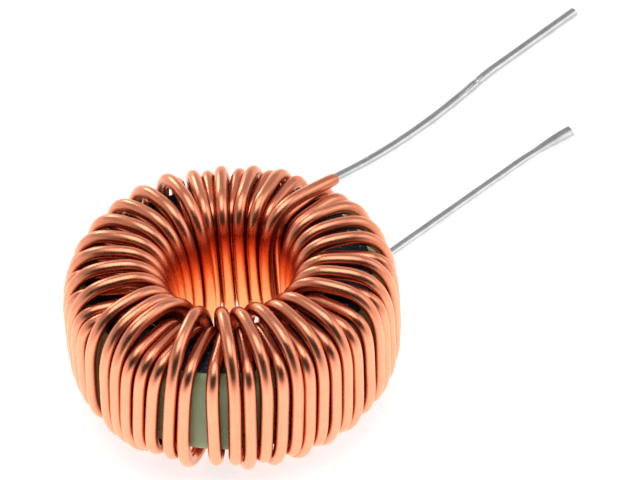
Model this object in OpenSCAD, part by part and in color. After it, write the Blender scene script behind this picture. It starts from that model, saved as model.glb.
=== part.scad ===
// Toroidal inductor: one enamelled copper wire, wound by hand on a coated iron powder ring that lies flat.
// The ring's axis is Z, the turns rest on z = 0, and both bare wire ends leave along +X.

/* [Core] */
// Outside diameter of the coated ring
core_od = 23.7; // [22:0.1:30]
// Bore of the coated ring
core_id = 14.2; // [13:0.1:15]
// Height of the coated ring
core_h = 8.1; // [5:0.1:12]
// Radius of the ring's four rounded edges
core_edge = 1.4; // [1.2:0.1:1.8]
// Thickness of the second coat, on the top face
coat_t = 0.08; // [0.04:0.01:0.12]

/* [Wire] */
// Diameter of the wire over its enamel
wire_d = 1.07; // [0.6:0.01:1.08]
// Diameter of the stripped and tinned ends
tinned_d = 0.92; // [0.5:0.01:0.95]

/* [Winding] */
// Gap between the core's outer wall and a turn at half height
wall_gap = 0.2; // [0.2:0.01:0.6]
// Gap between the core's bore and a turn of the lower layer
bore_gap = 0.3; // [0.3:0.01:0.5]
// Gap between the core's flat faces and a turn of the lower layer
face_gap = 0.18; // [0.16:0.01:0.6]
// Extra height of the upper layer over one wire's thickness
layer_gap = 0.2; // [0.15:0.01:0.4]
// Squareness of a turn's section, where an ellipse is 2
squareness = 4; // [3.8:0.1:6]
// How much less square the upper layer's section is at the bore
inner_ease = 1.1; // [0:0.1:1.1]

/* [Leads] */
// Distance from the ring's axis to where the enamel ends
enamel_end = 12.4; // [12.2:0.1:14]
// Distance from the ring's axis to the top lead's tip
top_reach = 40.9; // [36:0.1:50]
// Distance from the ring's axis to the bottom lead's tip
bottom_reach = 39.3; // [30:0.1:50]
// Sideways place of the top lead
top_y = 0.4; // [0.2:0.1:0.6]
// Sideways place of the bottom lead
bottom_y = -0.5; // [-0.6:0.1:-0.3]
// Slope of the top lead where the enamel ends, in degrees below level
top_slope = 12; // [8:1:14]
// Slope of the top lead's rise before its tip, in degrees
top_rise = 8; // [6:1:14]
// Radius of the bends before the leads' tips
crank_r = 18; // [10:1:24]
// Length of straight wire at the top lead's tip
top_tip = 9.5; // [6:0.5:12]
// Length of straight wire at the bottom lead's tip
bottom_tip = 5; // [4:0.5:8]
// Slope of the bottom lead where the enamel ends, in degrees below level
bottom_slope = 1.6; // [0:0.2:3]
// How much steeper the bottom lead's tip is, in degrees
bottom_dip = 5; // [2:0.5:5]

/* [Hidden] */
$fn = 96;

// One row for each pass up the bore and the turn that follows it: the angle in the bore, the angles at the
// outer wall's top and foot, and the layer, 0 on the core or 1 over its neighbours, more at a crossing
TURNS = [
  [358, 358, 352.5, 0], [346, 346, 342, 1], [334, 335, 331, 1], [319, 325, 322, 1],
  [323, 316, 314, 0], [304, 309, 306, 1], [292.5, 300, 298, 1], [296, 294, 292, 0],
  [281, 289.5, 286.5, 1], [284, 281.5, 280, 0], [275, 275, 273, 0], [268, 270, 267, 1],
  [266, 264.5, 262, 0], [256, 259.5, 256, 1], [254, 254, 251, 0], [240, 249.5, 246, 1.3],
  [243, 244, 240.5, 0], [228, 238.5, 235, 1.2], [233, 232, 230, 0], [216, 227, 224.5, 1.3],
  [224, 219, 217.5, 0], [215, 210, 205.5, 0], [204, 205, 200, 1.2], [206, 198.5, 193, 0],
  [197, 193, 188, 0], [188, 187.5, 182.5, 0], [192, 182, 178, 1.3], [180, 176.5, 173, 1.2],
  [168, 168, 163.5, 1.2], [174, 161, 158, 0], [164, 155.5, 152.5, 0], [156, 150.5, 147, 1.2],
  [154, 144.5, 141.5, 0], [144, 139, 136, 1.2], [142, 133, 130.5, 0], [132, 128, 125, 1.2],
  [130, 122, 119.5, 0], [120, 117, 114, 1.2], [118, 111, 108, 0], [108, 105.5, 102.5, 1.2],
  [106, 100, 97, 0], [96, 94, 91, 1.2], [94, 88.5, 85, 0], [84, 83, 79.5, 1.3], [82, 77, 74, 0],
  [70, 71, 68, 1.4], [72, 65, 62, 0], [62, 59, 56, 0.7], [56, 53, 50, 0], [50, 47.5, 44.5, 0.7],
  [44, 40.5, 37.5, 0], [38, 34.5, 31.5, 0.7], [32, 28.5, 26, 0], [26, 23, 20.5, 0.7],
  [20, 17.5, 14, 0], [9, 5, 4, 0], [12, 0, 0, 1]
];
LAST = len(TURNS) - 1;
// Places round half a turn, in degrees: close together at the corners, where the wire bends
HALF = [0, 30, 45, 65, 90, 118, 135, 150];
WIRE_SIDES = 6;
LEAD_SIDES = 16;

core_r = core_od / 2;
bore_r = core_id / 2;
wire_r = wire_d / 2;
tinned_r = tinned_d / 2;
layer_step = wire_d + layer_gap;
wall_path_r = core_r + wall_gap + wire_r;
face_path_h = core_h / 2 + face_gap + wire_r;

// A turn's section as a rounded square from -1 to 1: 0 in the bore, 90 on top, 180 at the wall.
// The upper layer's bends are rounder at the bore, where nothing holds them down
function section(t, layer) =
  let (
    n = cos(t) > 0 ? squareness - layer * inner_ease : squareness,
    k = pow(pow(abs(cos(t)), n) + pow(abs(sin(t)), n), -1 / n)
  )
  [-cos(t) * k, sin(t) * k];
function polar(r, a) = [r * cos(a), r * sin(a)];
function in_bore(m) = polar(bore_r - bore_gap - wire_r - TURNS[m][3] * layer_step, TURNS[m][0]);
// A turn leans on the outer wall, from its top angle to its foot angle
function at_wall(m, up) = polar(wall_path_r, (TURNS[m][1] * (1 + up) + TURNS[m][2] * (1 - up)) / 2);
// Height from the core's middle: the upper layer drops between its neighbours towards the wall
function path_h(m, out) = face_path_h + TURNS[m][3] * layer_step * (1 - pow(out, 5));
function turn_point(m, wall, t) =
  let (p = section(t, TURNS[m][3]), out = (p[0] + 1) / 2, xy = in_bore(m) * (1 - out) + wall * out)
  [xy[0], xy[1], p[1] * path_h(m, out)];
function over(m) = [for (t = HALF) turn_point(m, at_wall(m, section(t, 0)[1]), t)];
function under(m) = [for (t = HALF) turn_point(m, at_wall(m - 1, section(t + 180, 0)[1]), t + 180)];

// The first pass comes in below the core from the bottom lead, and the last goes out over it
FREE = [0, 0.2, 0.4, 0.6, 0.8];
first_middle = turn_point(0, [wall_path_r, bottom_y], 270);
last_middle = turn_point(LAST, [wall_path_r, top_y], 90);
last_run = enamel_end - last_middle[0];
function ease(from, to, w) = from + (to - from) * (1 - pow(1 - w, 2));
function first_run(w) = [
  enamel_end + (first_middle[0] - enamel_end) * w,
  ease(first_middle[1], bottom_y, 1 - w),
  first_middle[2] - tan(bottom_slope) * (enamel_end - first_middle[0]) * pow(1 - w, 2) / 2
];
function last_drop(w) = [
  last_middle[0] + last_run * w,
  ease(last_middle[1], top_y, w),
  last_middle[2] - tan(top_slope) * last_run * w * w / 2
];
winding_path = concat(
  [for (w = FREE) first_run(w)],
  [for (t = HALF) if (t >= 90) turn_point(0, [wall_path_r, bottom_y], t + 180)],
  over(0),
  [for (m = [1:LAST - 1]) each concat(under(m), over(m))],
  under(LAST),
  [for (t = HALF) if (t < 90) turn_point(LAST, [wall_path_r, top_y], t)],
  [for (w = concat(FREE, [1])) last_drop(w)]
);
// Height of the core's middle when the lowest turns rest on z = 0
core_z = wire_r - min([for (p = winding_path) p[2]]);

function unit(v) = v / norm(v);
// A solid wire along a path, whose rings stand square to it and whose end faces have the directions given
module sweep(path, d, first_way, last_way, sides) {
  n = len(path);
  points = [
    for (i = [0:n - 1])
      let (
        ahead = i == 0 ? first_way : i == n - 1 ? last_way : unit(path[i + 1] - path[i - 1]),
        around = unit([-path[i][1], path[i][0], 0]),
        side = unit(around - ahead * (around * ahead)),
        up = cross(ahead, side)
      )
      for (j = [0:sides - 1])
        let (a = (j + 0.5) * 360 / sides)
        path[i] + d / 2 * (side * cos(a) + up * sin(a))
  ];
  walls = [
    for (i = [0:n - 2], j = [0:sides - 1])
      let (a = i * sides, b = a + sides, k = (j + 1) % sides)
      each [[a + j, b + k, a + k], [a + j, b + j, b + k]]
  ];
  first = [for (j = [0:sides - 1]) j];
  last = [for (j = [sides - 1:-1:0]) (n - 1) * sides + j];
  polyhedron(points, concat([first], walls, [last]), convexity = 20);
}

// The ring's section, grown by a coat's thickness
module ring_section(coat) {
  e = core_edge + coat;
  for (r = [bore_r + core_edge, core_r - core_edge], z = [core_h / 2 - core_edge, core_edge - core_h / 2])
    translate([r, z]) circle(e);
  translate([bore_r + core_edge, -core_h / 2 - coat])
    square([core_r - bore_r - 2 * core_edge, core_h + 2 * coat]);
  translate([bore_r - coat, core_edge - core_h / 2])
    square([core_r - bore_r + 2 * coat, core_h - 2 * core_edge]);
}

module core() {
  color("#8c9a7a") translate([0, 0, core_z]) rotate_extrude() ring_section(0);
}

module face_coat() {
  color("#1f2d4a") translate([0, 0, core_z]) rotate_extrude() difference() {
    ring_section(coat_t);
    ring_section(0);
    translate([0, -core_h]) square([core_od, 1.5 * core_h - 0.04 * core_edge]);
  }
}

// The direction of this slope above +X
function slope_way(a) = [cos(a), 0, sin(a)];

module winding() {
  color("#c9764c") translate([0, 0, core_z])
    sweep(winding_path, wire_d, -1 * slope_way(-bottom_slope), slope_way(-top_slope), WIRE_SIDES);
}

// Points along a bend from a start: the direction goes from one slope above +X to another
function bend_path(start, r, slope, end_slope, steps) = [
  for (i = [1:steps])
    let (a = slope + (end_slope - slope) * i / steps)
    start + r * sign(end_slope - slope) * [sin(a) - sin(slope), 0, cos(slope) - cos(a)]
];
function last_of(path) = path[len(path) - 1];
// The leads' tips are exact rods, and each lead's bent part ends this far inside its tip
TIP_LAP = 0.5;
bent_d = tinned_d - 0.01;

top_start = last_of(winding_path);
sag_r = (top_reach - enamel_end - top_tip - crank_r * sin(top_rise)) / (sin(top_slope) + sin(top_rise));
sag = bend_path(top_start, sag_r, -top_slope, top_rise, 8);
top_crank = bend_path(last_of(sag), crank_r, top_rise, 0, 4);
module lead_top() {
  tip = last_of(top_crank);
  color("#c4c6c8") translate([0, 0, core_z]) {
    sweep(
      concat([top_start], sag, top_crank, [tip + [TIP_LAP, 0, 0]]),
      bent_d, slope_way(-top_slope), [1, 0, 0], LEAD_SIDES
    );
    translate(tip) rotate([0, 90, 0]) cylinder(h = top_tip, r = tinned_r);
  }
}

bottom_start = winding_path[0];
bottom_end = bottom_slope + bottom_dip;
bottom_way = slope_way(-bottom_end);
bottom_run = (bottom_reach - enamel_end - crank_r * (sin(bottom_end) - sin(bottom_slope))
  - bottom_tip * cos(bottom_end)) / cos(bottom_slope);
bottom_bend = bottom_start + bottom_run * slope_way(-bottom_slope);
bottom_crank = bend_path(bottom_bend, crank_r, -bottom_slope, -bottom_end, 3);
module lead_bottom() {
  tip = last_of(bottom_crank);
  color("#c4c6c8") translate([0, 0, core_z]) {
    sweep(
      concat([bottom_start, bottom_bend], bottom_crank, [tip + TIP_LAP * bottom_way]),
      bent_d, slope_way(-bottom_slope), bottom_way, LEAD_SIDES
    );
    translate(tip) rotate([0, 90 + bottom_end, 0]) cylinder(h = bottom_tip, r = tinned_r);
  }
}

core();
face_coat();
winding();
lead_top();
lead_bottom();
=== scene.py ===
import math

import bpy
from mathutils import Matrix, Vector


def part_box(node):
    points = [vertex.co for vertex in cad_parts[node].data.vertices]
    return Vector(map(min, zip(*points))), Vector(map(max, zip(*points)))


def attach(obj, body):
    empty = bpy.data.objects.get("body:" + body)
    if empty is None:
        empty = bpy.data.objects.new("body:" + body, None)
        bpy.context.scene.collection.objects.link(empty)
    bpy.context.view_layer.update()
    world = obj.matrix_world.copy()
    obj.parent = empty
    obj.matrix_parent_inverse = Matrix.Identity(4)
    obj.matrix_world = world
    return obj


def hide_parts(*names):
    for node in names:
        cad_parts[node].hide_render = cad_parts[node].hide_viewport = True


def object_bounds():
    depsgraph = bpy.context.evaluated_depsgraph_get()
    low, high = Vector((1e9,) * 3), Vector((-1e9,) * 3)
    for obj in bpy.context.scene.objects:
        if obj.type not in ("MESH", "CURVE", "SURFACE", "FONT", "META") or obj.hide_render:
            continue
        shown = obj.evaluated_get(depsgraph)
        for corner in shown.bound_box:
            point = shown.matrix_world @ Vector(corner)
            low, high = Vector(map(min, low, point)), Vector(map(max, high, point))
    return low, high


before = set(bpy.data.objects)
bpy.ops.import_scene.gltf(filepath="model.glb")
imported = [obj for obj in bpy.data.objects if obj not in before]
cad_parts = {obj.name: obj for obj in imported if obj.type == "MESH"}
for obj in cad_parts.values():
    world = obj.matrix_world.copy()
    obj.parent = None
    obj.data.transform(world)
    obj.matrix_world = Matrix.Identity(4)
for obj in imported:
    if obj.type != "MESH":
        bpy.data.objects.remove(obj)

cad_low, cad_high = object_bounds()


# ---- Ring core -------------------------------------------------------------------------------
# A pressed iron powder ring with rounded edges, sprayed all over with a sage green epoxy coat.
# The CAD solid has the real shape, so it stays and only gets its paint.

MM = 0.001
SAGE, PALE_SAGE = (0.38, 0.47, 0.23), (0.47, 0.56, 0.30)
SAGE_CLOUD, SAGE_PATCH, SAGE_GRAIN = 2.5 * MM, 0.6 * MM, 0.35 * MM
SAGE_RELIEF = 0.012 * MM
core_low, core_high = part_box("core")
core_mid = (core_low + core_high) / 2


def new_finish(name):
    """A new material with only a Principled shader and an output."""
    material = bpy.data.materials.new(name)
    material.use_nodes = True
    tree = material.node_tree
    tree.nodes.clear()
    shader = tree.nodes.new("ShaderNodeBsdfPrincipled")
    output = tree.nodes.new("ShaderNodeOutputMaterial")
    tree.links.new(shader.outputs["BSDF"], output.inputs["Surface"])
    return material, tree, shader


def speckle(tree, size, detail=3.0, roughness=0.55):
    """Noise on Object coordinates, with grains of about this size in metres."""
    place = tree.nodes.new("ShaderNodeTexCoord")
    noise = tree.nodes.new("ShaderNodeTexNoise")
    noise.inputs["Scale"].default_value = 1 / size
    noise.inputs["Detail"].default_value = detail
    noise.inputs["Roughness"].default_value = roughness
    tree.links.new(place.outputs["Object"], noise.inputs["Vector"])
    return noise.outputs["Fac"]


def shades(tree, factor, stops):
    """Colours, or greys given as one number, that follow a factor: (place, colour) from low to high."""
    ramp = tree.nodes.new("ShaderNodeValToRGB")
    while len(ramp.color_ramp.elements) < len(stops):
        ramp.color_ramp.elements.new(1.0)
    for element, (place, colour) in zip(ramp.color_ramp.elements, stops):
        element.position = place
        element.color = (*colour, 1.0) if len(colour) == 3 else (colour[0],) * 3 + (1.0,)
    tree.links.new(factor, ramp.inputs["Fac"])
    return ramp.outputs["Color"]


def bumps(tree, shader, factor, height):
    """Small relief from a factor, this high in metres."""
    bump = tree.nodes.new("ShaderNodeBump")
    bump.inputs["Strength"].default_value = 1.0
    bump.inputs["Distance"].default_value = height
    tree.links.new(factor, bump.inputs["Height"])
    tree.links.new(bump.outputs["Normal"], shader.inputs["Normal"])


green_epoxy, tree, shader = new_finish("sage_green_epoxy")
tree.links.new(shades(tree, speckle(tree, SAGE_CLOUD), [(0.3, SAGE), (0.7, PALE_SAGE)]),
               shader.inputs["Base Color"])
tree.links.new(shades(tree, speckle(tree, SAGE_PATCH), [(0.3, (0.42,)), (0.7, (0.56,))]),
               shader.inputs["Roughness"])
bumps(tree, shader, speckle(tree, SAGE_GRAIN), SAGE_RELIEF)
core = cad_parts["core"]
core.data.materials.clear()
core.data.materials.append(green_epoxy)


# ---- Face coat -------------------------------------------------------------------------------
# A second, thin coat of dark navy epoxy on the ring's top face and its rounded edges.
# It is sprayed, so it is rough and carries pale grains of the powder under it.

DEEP_NAVY, NAVY = (0.003, 0.004, 0.010), (0.006, 0.009, 0.022)
DUSTY_BLUE, PALE_GRAIN = (0.12, 0.15, 0.20), (0.42, 0.45, 0.48)
NAVY_GRAIN, NAVY_RELIEF = 0.28 * MM, 0.03 * MM

navy_epoxy, tree, shader = new_finish("navy_epoxy")
grains = speckle(tree, NAVY_GRAIN, 4.0, 0.7)
tree.links.new(shades(tree, grains, [(0.0, DEEP_NAVY), (0.56, NAVY), (0.66, DUSTY_BLUE), (0.8, PALE_GRAIN)]),
               shader.inputs["Base Color"])
shader.inputs["Roughness"].default_value = 0.6
shader.inputs["Specular IOR Level"].default_value = 0.3
bumps(tree, shader, grains, NAVY_RELIEF)
face_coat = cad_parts["face_coat"]
face_coat.data.materials.clear()
face_coat.data.materials.append(navy_epoxy)


# ---- Winding ---------------------------------------------------------------------------------
# One round copper wire with a clear amber enamel, wound by hand round the ring in two loose layers.
# A lower turn lies on the core, and an upper one rides over its neighbours and drops between them.

CORE_R, BORE_R, CORE_H = 11.85 * MM, 7.1 * MM, 8.1 * MM
WIRE_R = 0.535 * MM
WALL_GAP, BORE_GAP, FACE_GAP, LAYER_GAP = 0.2 * MM, 0.3 * MM, 0.18 * MM, 0.2 * MM
SQUARENESS, INNER_EASE = 4, 1.1
DROP = 5
ENAMEL_END, TOP_Y, BOTTOM_Y = 12.4 * MM, 0.4 * MM, -0.5 * MM
TOP_SLOPE, BOTTOM_SLOPE = math.radians(12), math.radians(1.6)   # below level, where the enamel ends
# One row for each pass up the bore and the turn that follows it: the angle in the bore, the angles
# at the outer wall's top and foot, and the layer
TURNS = [
    (358, 358, 352.5, 0), (346, 346, 342, 1), (334, 335, 331, 1), (319, 325, 322, 1),
    (323, 316, 314, 0), (304, 309, 306, 1), (292.5, 300, 298, 1), (296, 294, 292, 0),
    (281, 289.5, 286.5, 1), (284, 281.5, 280, 0), (275, 275, 273, 0), (268, 270, 267, 1),
    (266, 264.5, 262, 0), (256, 259.5, 256, 1), (254, 254, 251, 0), (240, 249.5, 246, 1.3),
    (243, 244, 240.5, 0), (228, 238.5, 235, 1.2), (233, 232, 230, 0), (216, 227, 224.5, 1.3),
    (224, 219, 217.5, 0), (215, 210, 205.5, 0), (204, 205, 200, 1.2), (206, 198.5, 193, 0),
    (197, 193, 188, 0), (188, 187.5, 182.5, 0), (192, 182, 178, 1.3), (180, 176.5, 173, 1.2),
    (168, 168, 163.5, 1.2), (174, 161, 158, 0), (164, 155.5, 152.5, 0), (156, 150.5, 147, 1.2),
    (154, 144.5, 141.5, 0), (144, 139, 136, 1.2), (142, 133, 130.5, 0), (132, 128, 125, 1.2),
    (130, 122, 119.5, 0), (120, 117, 114, 1.2), (118, 111, 108, 0), (108, 105.5, 102.5, 1.2),
    (106, 100, 97, 0), (96, 94, 91, 1.2), (94, 88.5, 85, 0), (84, 83, 79.5, 1.3), (82, 77, 74, 0),
    (70, 71, 68, 1.4), (72, 65, 62, 0), (62, 59, 56, 0.7), (56, 53, 50, 0), (50, 47.5, 44.5, 0.7),
    (44, 40.5, 37.5, 0), (38, 34.5, 31.5, 0.7), (32, 28.5, 26, 0), (26, 23, 20.5, 0.7),
    (20, 17.5, 14, 0), (9, 5, 4, 0), (12, 0, 0, 1),
]
LAST = len(TURNS) - 1
STEPS = 48   # places along half a turn

layer_step = 2 * WIRE_R + LAYER_GAP
wall_path_r = CORE_R + WALL_GAP + WIRE_R
face_path_h = CORE_H / 2 + FACE_GAP + WIRE_R


def section(t, layer):
    """A turn's section as a rounded square from -1 to 1: 0 in the bore, 90 on top, 180 at the wall."""
    c, s = math.cos(math.radians(t)), math.sin(math.radians(t))
    n = SQUARENESS - layer * INNER_EASE if c > 0 else SQUARENESS
    k = (abs(c) ** n + abs(s) ** n) ** (-1 / n)
    return -c * k, s * k


def polar(r, a):
    return Vector((r * math.cos(math.radians(a)), r * math.sin(math.radians(a)), 0))


def turn_point(m, wall, t):
    """A place on turn m, from the core's middle."""
    bore_angle, _, _, layer = TURNS[m]
    across, up = section(t, layer)
    out = (across + 1) / 2
    bore = polar(BORE_R - BORE_GAP - WIRE_R - layer * layer_step, bore_angle)
    place = bore * (1 - out) + wall * out
    place.z = up * (face_path_h + layer * layer_step * (1 - out ** DROP))
    return place


def at_wall(m, t):
    """The outer wall's place of turn m, which leans from its top angle to its foot angle."""
    _, top_angle, foot_angle, _ = TURNS[m]
    up = section(t, 0)[1]
    return polar(wall_path_r, (top_angle * (1 + up) + foot_angle * (1 - up)) / 2)


def ease(start, end, w):
    return start + (end - start) * (1 - (1 - w) ** 2)


half = [180 * i / STEPS for i in range(STEPS)]
bottom_exit, top_exit = Vector((wall_path_r, BOTTOM_Y, 0)), Vector((wall_path_r, TOP_Y, 0))
first_middle = turn_point(0, bottom_exit, 270)
last_middle = turn_point(LAST, top_exit, 90)
run_out = ENAMEL_END - last_middle.x
path = []
for i in range(STEPS // 2):
    w = i / (STEPS // 2)
    dip = math.tan(BOTTOM_SLOPE) * (ENAMEL_END - first_middle.x) * (1 - w) ** 2 / 2
    path.append(Vector((ENAMEL_END + (first_middle.x - ENAMEL_END) * w,
                        ease(first_middle.y, BOTTOM_Y, 1 - w), first_middle.z - dip)))
path += [turn_point(0, bottom_exit, t + 180) for t in half if t >= 90]
for m in range(LAST + 1):
    if m > 0:
        path += [turn_point(m, at_wall(m - 1, t + 180), t + 180) for t in half]
    if m < LAST:
        path += [turn_point(m, at_wall(m, t), t) for t in half]
path += [turn_point(LAST, top_exit, t) for t in half if t < 90]
for i in range(STEPS // 2 + 1):
    w = i / (STEPS // 2)
    dip = math.tan(TOP_SLOPE) * run_out * w * w / 2
    path.append(Vector((last_middle.x + run_out * w, ease(last_middle.y, TOP_Y, w), last_middle.z - dip)))
path = [p + Vector((0, 0, core_mid.z)) for p in path]


def wire(name, points, radii, resolution, material):
    """A round wire along points, made from a curve with a round bevel and turned into a mesh."""
    curve = bpy.data.curves.new(name, "CURVE")
    curve.dimensions = "3D"
    curve.bevel_depth = 1.0
    curve.bevel_resolution = resolution
    curve.use_fill_caps = True
    spline = curve.splines.new("POLY")
    spline.points.add(len(points) - 1)
    for point, place, radius in zip(spline.points, points, radii):
        point.co = (*place, 1)
        point.radius = radius
    piece = bpy.data.objects.new(name, curve)
    bpy.context.collection.objects.link(piece)
    bpy.ops.object.select_all(action="DESELECT")
    piece.select_set(True)
    bpy.context.view_layer.objects.active = piece
    bpy.ops.object.convert(target="MESH")
    piece = bpy.context.object
    piece.data.materials.clear()
    piece.data.materials.append(material)
    bpy.ops.object.shade_smooth_by_angle(angle=math.radians(50))
    return piece


def vector_step(tree, operation, first, second=None):
    """A step of vector arithmetic on a socket, with another socket or a fixed vector."""
    step = tree.nodes.new("ShaderNodeVectorMath")
    step.operation = operation
    tree.links.new(first, step.inputs[0])
    if isinstance(second, tuple):
        step.inputs[1].default_value = second
    elif second is not None:
        tree.links.new(second, step.inputs[1])
    return step.outputs["Value" if operation in ("LENGTH", "DOT_PRODUCT") else "Vector"]


def number_step(tree, operation, *terms):
    """A step of arithmetic on terms that are sockets or numbers."""
    step = tree.nodes.new("ShaderNodeMath")
    step.operation = operation
    for socket, term in zip(step.inputs, terms):
        if isinstance(term, float):
            socket.default_value = term
        else:
            tree.links.new(term, socket)
    return step.outputs["Value"]


def fade(tree, value, start, end, at_start=0.0, at_end=1.0, interpolation="SMOOTHSTEP"):
    """A change from one level to another as a value goes from start to end."""
    step = tree.nodes.new("ShaderNodeMapRange")
    step.interpolation_type = interpolation
    step.inputs["From Min"].default_value = start
    step.inputs["From Max"].default_value = end
    step.inputs["To Min"].default_value = at_start
    step.inputs["To Max"].default_value = at_end
    tree.links.new(value, step.inputs["Value"])
    return step.outputs["Result"]


def mixed(tree, share, first, second, blend="MIX"):
    """Two colours mixed or multiplied; share and second are each a socket or fixed."""
    step = tree.nodes.new("ShaderNodeMix")
    step.data_type = "RGBA"
    step.blend_type = blend
    tree.links.new(first, step.inputs["A"])
    for name, term in (("Factor", share), ("B", second)):
        if isinstance(term, (float, tuple)):
            step.inputs[name].default_value = term
        else:
            tree.links.new(term, step.inputs[name])
    return step.outputs["Result"]


COPPER, PALE_COPPER = (0.85, 0.283, 0.155), (0.90, 0.31, 0.172)
# The amber of the wire in the bore, and the darker amber painted as shade higher up the bore
AMBER, SHADED_AMBER = (0.86, 0.31, 0.105), (0.78, 0.17, 0.035)
# The wire left as it is, and its flanks multiplied darker as painted shade between the turns
UNSHADED, FLANK_SHADE = (1.0, 1.0, 1.0), (0.50, 0.47, 0.40)
AMBER_R, COPPER_R = 5.2 * MM, 7.6 * MM        # how far out the amber begins to end, and has ended
AMBER_Z, COPPER_Z = 9.0 * MM, 11.5 * MM       # and how high
# The heights between which the painted shade up the bore deepens
PLAIN_AMBER_Z, SHADED_AMBER_Z = 4.5 * MM, 9.0 * MM
COPPER_CLOUD, COPPER_PATCH, COPPER_DENT = 1.5 * MM, 0.5 * MM, 0.9 * MM
COPPER_RELIEF = 0.012 * MM

enamelled_copper, tree, shader = new_finish("enamelled_copper")
place = tree.nodes.new("ShaderNodeTexCoord")
height = tree.nodes.new("ShaderNodeSeparateXYZ")
tree.links.new(place.outputs["Object"], height.inputs["Vector"])
# Each turn's two flanks, which face its neighbours, are painted darker: painted shade between the turns
sideways = vector_step(tree, "CROSS_PRODUCT", place.outputs["Object"], (0, 0, 1))
facing = vector_step(tree, "DOT_PRODUCT", vector_step(tree, "NORMALIZE", sideways), place.outputs["Normal"])
painted_flank_shade = shades(tree, number_step(tree, "ABSOLUTE", facing), [(0.0, UNSHADED), (0.74, UNSHADED), (0.97, FLANK_SHADE)])
# In the bore the wire is a deeper amber, and higher up the bore it is painted darker still: painted shade
outside = number_step(tree, "MAXIMUM", fade(tree, vector_step(tree, "LENGTH", sideways), AMBER_R, COPPER_R),
                      fade(tree, height.outputs["Z"], AMBER_Z, COPPER_Z))
painted_bore_shade = fade(tree, height.outputs["Z"], PLAIN_AMBER_Z, SHADED_AMBER_Z, interpolation="LINEAR")
amber = shades(tree, painted_bore_shade, [(0.0, AMBER), (1.0, SHADED_AMBER)])
copper = shades(tree, speckle(tree, COPPER_CLOUD), [(0.3, COPPER), (0.7, PALE_COPPER)])
tree.links.new(mixed(tree, 1.0, mixed(tree, outside, amber, copper), painted_flank_shade, "MULTIPLY"),
               shader.inputs["Base Color"])
tree.links.new(shades(tree, speckle(tree, COPPER_PATCH), [(0.3, (0.26,)), (0.7, (0.33,))]),
               shader.inputs["Roughness"])
shader.inputs["Metallic"].default_value = 1.0
shader.inputs["Specular Tint"].default_value = (1.0, 0.85, 0.72, 1.0)
shader.inputs["Coat Weight"].default_value = 0.35
shader.inputs["Coat Roughness"].default_value = 0.25
shader.inputs["Coat IOR"].default_value = 1.5
bumps(tree, shader, speckle(tree, COPPER_DENT, 2.0), COPPER_RELIEF)

# The enamel is scraped off in a short taper at both ends
SCRAPE, SCRAPED_SHARE = 5, 0.87   # places along each end's taper, and how much of the radius is left
scraped = [WIRE_R * (SCRAPED_SHARE + (1 - SCRAPED_SHARE) * (i / SCRAPE) ** 0.5) for i in range(SCRAPE)]
winding_radii = scraped + [WIRE_R] * (len(path) - 2 * SCRAPE) + scraped[::-1]
winding = wire("winding_wire", path, winding_radii, 6, enamelled_copper)
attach(winding, "root")
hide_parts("winding")


# ---- Leads -----------------------------------------------------------------------------------
# The wire's two ends, stripped of their enamel, dipped in solder and pulled out by hand.
# They are solid and stiff, thinner than the enamelled wire, with a satin grey skin of solder.

TINNED_R = 0.46 * MM
TOP_REACH, BOTTOM_REACH = 40.9 * MM, 39.3 * MM
TOP_RISE, BOTTOM_DIP = math.radians(8), math.radians(5)
BOTTOM_END = BOTTOM_SLOPE + BOTTOM_DIP
CRANK_R, TOP_TIP, BOTTOM_TIP = 18 * MM, 9.5 * MM, 5 * MM


def bend(start, r, slope, end_slope, steps):
    """Places along a bend in a lead, from one slope above +X to another."""
    turn = math.copysign(r, end_slope - slope)
    angles = [slope + (end_slope - slope) * i / steps for i in range(1, steps + 1)]
    return [start + turn * Vector((math.sin(a) - math.sin(slope), 0, math.cos(slope) - math.cos(a)))
            for a in angles]


def straight(start, slope, length, steps):
    """Places along a straight stretch, on a slope above +X."""
    way = length * Vector((math.cos(slope), 0, math.sin(slope)))
    return [start + way * i / steps for i in range(1, steps + 1)]


TIN, PALE_TIN = (0.50, 0.50, 0.505), (0.60, 0.60, 0.60)
TIN_CLOUD, TIN_PATCH, TIN_DENT = 1.2 * MM, 0.4 * MM, 0.9 * MM
TIN_RELIEF = 0.015 * MM

tinned_copper, tree, shader = new_finish("tinned_copper")
tree.links.new(shades(tree, speckle(tree, TIN_CLOUD), [(0.3, TIN), (0.7, PALE_TIN)]),
               shader.inputs["Base Color"])
tree.links.new(shades(tree, speckle(tree, TIN_PATCH), [(0.3, (0.18,)), (0.7, (0.28,))]),
               shader.inputs["Roughness"])
shader.inputs["Metallic"].default_value = 1.0
bumps(tree, shader, speckle(tree, TIN_DENT), TIN_RELIEF)

sag_r = ((TOP_REACH - ENAMEL_END - TOP_TIP - CRANK_R * math.sin(TOP_RISE))
         / (math.sin(TOP_SLOPE) + math.sin(TOP_RISE)))
top = [path[-1]]
top += bend(top[-1], sag_r, -TOP_SLOPE, TOP_RISE, 60)
top += bend(top[-1], CRANK_R, TOP_RISE, 0, 16)
top += straight(top[-1], 0, TOP_TIP, 40)
# The pliers that bent it have left three small nicks: the place along X, and how much is left there
NICKS = [(16.2 * MM, 0.965), (27.6 * MM, 0.97), (28.8 * MM, 0.94)]
top_radii = [TINNED_R] * len(top)
for nick, left in NICKS:
    nearest = min(range(len(top)), key=lambda i: abs(top[i].x - nick))
    top_radii[nearest] *= left
top_lead = wire("top_lead", top, top_radii, 8, tinned_copper)
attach(top_lead, "root")
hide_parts("lead_top")

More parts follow.
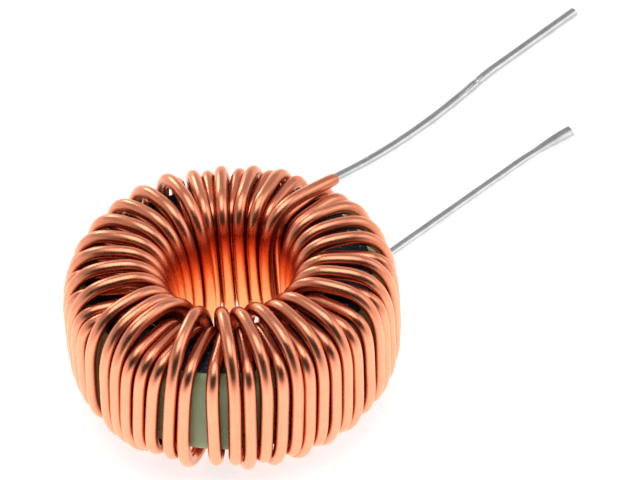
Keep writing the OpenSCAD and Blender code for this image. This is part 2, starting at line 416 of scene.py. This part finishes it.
bottom_run = (BOTTOM_REACH - ENAMEL_END - CRANK_R * (math.sin(BOTTOM_END) - math.sin(BOTTOM_SLOPE))
              - BOTTOM_TIP * math.cos(BOTTOM_END)) / math.cos(BOTTOM_SLOPE)
bottom = [path[0]]
bottom += straight(bottom[-1], -BOTTOM_SLOPE, bottom_run, 60)
bottom += bend(bottom[-1], CRANK_R, -BOTTOM_SLOPE, -BOTTOM_END, 8)
bottom += straight(bottom[-1], -BOTTOM_END, BOTTOM_TIP, 20)
bottom_lead = wire("bottom_lead", bottom, [TINNED_R] * len(bottom), 8, tinned_copper)
# The cutter has pressed this tip a little flat, so it is wider one way and thinner the other
PRESSED, WIDER, THINNER = 4.8 * MM, 0.3, 0.25
FULLY_PRESSED = 1 / 1.3   # the share of that length after which the tip is pressed to the full
along = Vector((math.cos(BOTTOM_END), 0, -math.sin(BOTTOM_END)))
wide = Vector((0, 0.77, 0.64))
thin = along.cross(wide)
for vertex in bottom_lead.data.vertices:
    offset = vertex.co - bottom[-1]
    share = min(1, (1 + offset.dot(along) / PRESSED) / FULLY_PRESSED)
    if share > 0:
        vertex.co += share * (WIDER * offset.dot(wide) * wide - THINNER * offset.dot(thin) * thin)
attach(bottom_lead, "root")
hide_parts("lead_bottom")


# ---- Studio ----------------------------------------------------------------------------------
# A white table in a plain pale room, with a top lamp, a lamp from behind and a soft box.
# The room is dark behind the viewer, so that the polished wire has something dark to mirror.

TABLE_SIZE = 2.4
TO_THE_EYE, TO_PAINT = 0.75, 0.6                      # the table's own glow, seen by the eye and by paint
NEAR, FAR, NEAR_LEVEL, FAR_LEVEL = 35 * MM, 80 * MM, 1.38, 0.6   # and as the wire mirrors it
ROOM = [(0.0, (1.1,)), (0.2, (1.0,)), (0.36, (0.5,)), (0.6, (0.46,)), (1.0, (0.42,))]   # level by height
VIEWER_WAY, ACROSS_WAY, SOFT_BOX_WAY = (-0.613, -0.646, 0.454), (0.725, -0.688, 0), (0.53, -0.63, 0.57)
DARK_WIDTH, DARK_LEVEL, SOFT_BOX_LEVEL = 0.2, 0.04, 1.6

bpy.ops.mesh.primitive_plane_add(size=TABLE_SIZE, location=(0, 0, cad_low.z))
floor = bpy.context.object
floor.name = "table_top"
bpy.ops.object.transform_apply(location=True, rotation=True, scale=True)
white_table, tree, shader = new_finish("white_table")
shader.inputs["Base Color"].default_value = (0.5, 0.5, 0.5, 1.0)
shader.inputs["Roughness"].default_value = 0.9
shader.inputs["Specular IOR Level"].default_value = 0.0
# How bright the table looks: to the eye it keeps some shadow, and in the copper it is a painted pool of
# light, brightest near the ring and dimmer further out
rays = tree.nodes.new("ShaderNodeLightPath")
eye = number_step(tree, "MULTIPLY", rays.outputs["Is Camera Ray"], TO_THE_EYE)
paint = number_step(tree, "MULTIPLY_ADD", rays.outputs["Is Diffuse Ray"], TO_PAINT, eye)
spot = tree.nodes.new("ShaderNodeTexCoord")
mirrored_pool_of_light = fade(tree, vector_step(tree, "LENGTH", spot.outputs["Object"]), NEAR, FAR, NEAR_LEVEL, FAR_LEVEL)
glow = tree.nodes.new("ShaderNodeEmission")
glow.inputs["Color"].default_value = (1.0, 1.0, 1.0, 1.0)
tree.links.new(number_step(tree, "MULTIPLY_ADD", rays.outputs["Is Glossy Ray"], mirrored_pool_of_light, paint),
               glow.inputs["Strength"])
both = tree.nodes.new("ShaderNodeAddShader")
output = next(n for n in tree.nodes if n.type == "OUTPUT_MATERIAL")
tree.links.new(shader.outputs["BSDF"], both.inputs[0])
tree.links.new(glow.outputs["Emission"], both.inputs[1])
tree.links.new(both.outputs["Shader"], output.inputs["Surface"])
floor.data.materials.append(white_table)

world = bpy.data.worlds.new("studio")
bpy.context.scene.world = world
world.use_nodes = True
tree = world.node_tree
tree.nodes.clear()
rays = tree.nodes.new("ShaderNodeLightPath")
direction = tree.nodes.new("ShaderNodeTexCoord")
parts = tree.nodes.new("ShaderNodeSeparateXYZ")
tree.links.new(direction.outputs["Generated"], parts.inputs["Vector"])
room = shades(tree, parts.outputs["Z"], ROOM)
# A soft box stands to the right of the viewer, at the same height
beside = vector_step(tree, "DOT_PRODUCT", direction.outputs["Generated"], SOFT_BOX_WAY)
lit = mixed(tree, fade(tree, beside, 0.90, 0.97), room, (SOFT_BOX_LEVEL,) * 3 + (1.0,))
# The dark part of the room stands behind the viewer, at the front left and above the table
viewer = vector_step(tree, "DOT_PRODUCT", direction.outputs["Generated"], VIEWER_WAY)
across = vector_step(tree, "DOT_PRODUCT", direction.outputs["Generated"], ACROSS_WAY)
squared = number_step(tree, "MULTIPLY", across, across)
behind_viewer = number_step(tree, "MULTIPLY_ADD", squared, DARK_WIDTH, viewer)
dimmed = mixed(tree, 1.0, lit, fade(tree, behind_viewer, 0.70, 0.89, 1.0, DARK_LEVEL), "MULTIPLY")
background = tree.nodes.new("ShaderNodeBackground")
tree.links.new(mixed(tree, rays.outputs["Is Camera Ray"], dimmed, (1.0, 1.0, 1.0, 1.0)),
               background.inputs["Color"])
output = tree.nodes.new("ShaderNodeOutputWorld")
tree.links.new(background.outputs["Background"], output.inputs["Surface"])


AZIMUTH, ELEVATION, ROLL = -43.5, 40.83, -4.0   # of the camera, in degrees


def lamp(name, azimuth, elevation, distance, size, power):
    """A square soft lamp that looks at the ring: azimuth 0 is behind the object, seen along +Y."""
    a, e = math.radians(azimuth), math.radians(elevation)
    away = Vector((math.sin(a) * math.cos(e), -math.cos(a) * math.cos(e), math.sin(e)))
    bpy.ops.object.light_add(type="AREA", location=core_mid + away * distance)
    light = bpy.context.object
    light.name = name
    light.rotation_euler = away.to_track_quat("Z", "Y").to_euler()
    light.data.shape = "SQUARE"
    light.data.size = size
    light.data.energy = power


lamp("top_lamp", AZIMUTH, 84, 0.5, 0.4, 1.1)
lamp("back_lamp", AZIMUTH - 150, 28, 0.6, 0.2, 0.6)

# The camera looks down at the ring from its front left, a little tilted, through a long lens.
LENS, SENSOR, DISTANCE = 226.8, 36.0, 314.9 * MM
AIM = Vector((7.679, -2.378, 3.921)) * MM   # from the core's middle, towards the leads
target = core_mid + AIM
turned = (Matrix.Rotation(math.radians(AZIMUTH), 4, "Z")
          @ Matrix.Rotation(math.radians(90 - ELEVATION), 4, "X")
          @ Matrix.Rotation(math.radians(ROLL), 4, "Z"))
bpy.ops.object.camera_add(location=target + turned.to_3x3() @ Vector((0, 0, DISTANCE)),
                          rotation=turned.to_euler())
camera = bpy.context.object
camera.data.lens = LENS
camera.data.sensor_width = SENSOR
camera.data.clip_start = 10 * MM
camera.data.clip_end = 10.0
bpy.context.scene.camera = camera
bpy.context.scene.view_settings.view_transform = "Standard"
